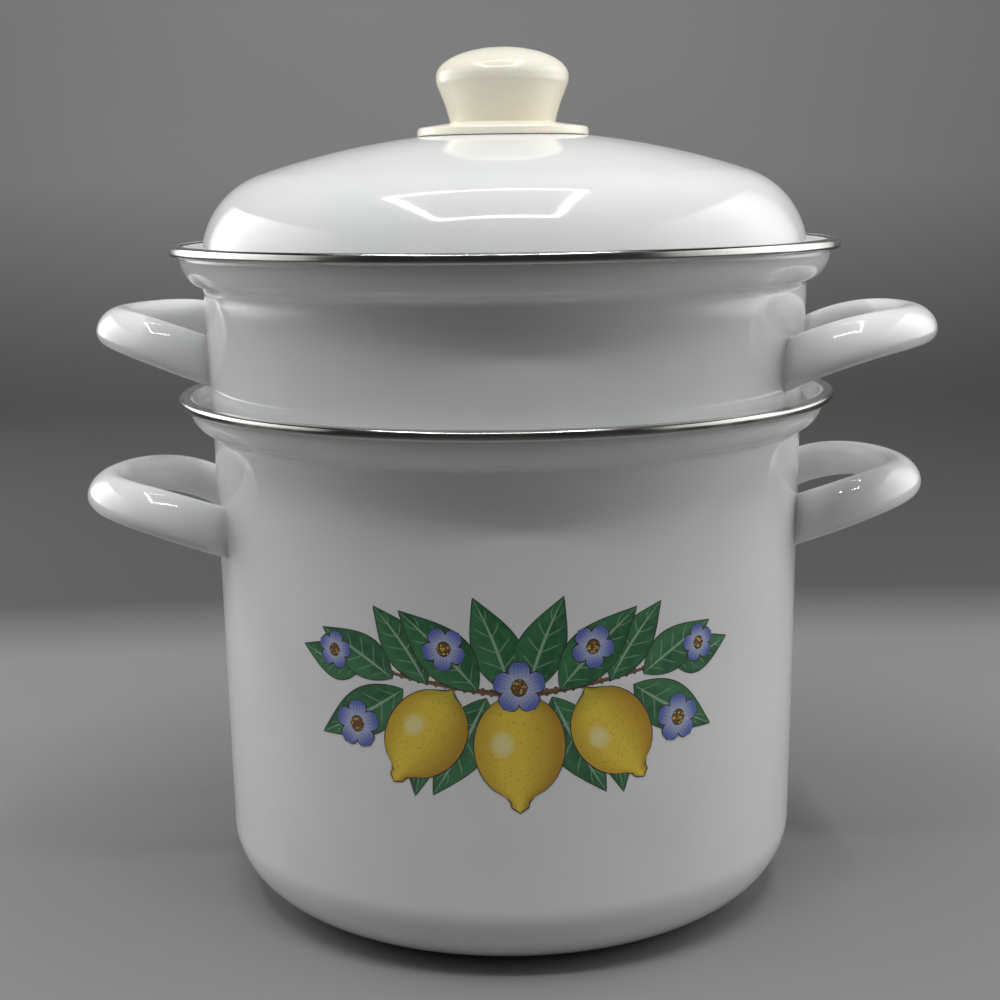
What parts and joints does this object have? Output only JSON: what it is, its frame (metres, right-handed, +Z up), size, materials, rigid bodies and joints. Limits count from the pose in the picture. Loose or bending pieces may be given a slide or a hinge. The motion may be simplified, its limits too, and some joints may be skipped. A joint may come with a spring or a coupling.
{
  "type": "stockpot with strainer insert",
  "caption": "Round enamelled stockpot with loop handles, a nested strainer insert with handles of its own, and a domed lid with a moulded knob, for boiling and steaming.",
  "frame": {"origin": "centre of the pot's flat foot, on the surface that it stands on", "axes": "+X through the pot's right handle, -Y towards the front with the printed motif, +Z up"},
  "size_m": [0.3464, 0.2698, 0.3449],
  "materials": {
    "white_enamel": "glossy white vitreous enamel on pressed steel",
    "rim_steel": "bright rolled stainless steel, lightly worn",
    "cream_plastic": "glossy cream moulded plastic",
    "bush_brass": "plain turned brass",
    "fixing_steel": "plain zinc-coated steel"
  },
  "bodies": {
    "pot": {"pot_shell": "white_enamel", "pot_rim_band": "rim_steel", "pot_handle_left": "white_enamel", "pot_handle_right": "white_enamel"},
    "insert": {"insert_shell": "white_enamel", "insert_rim_band": "rim_steel", "insert_handle_left": "white_enamel", "insert_handle_right": "white_enamel"},
    "lid": {"lid_shell": "white_enamel", "lid_knob": "cream_plastic", "knob_thread_insert": "bush_brass", "knob_washer": "fixing_steel", "knob_screw": "fixing_steel"}
  },
  "joints": [
    {"name": "insert_lift", "type": "slide", "parent": "pot", "child": "insert", "axis": [0, 0, 1], "range_m": [0, 0.25]},
    {"name": "lid_lift", "type": "slide", "parent": "insert", "child": "lid", "axis": [0, 0, 1], "range_m": [0, 0.2]}
  ]
}
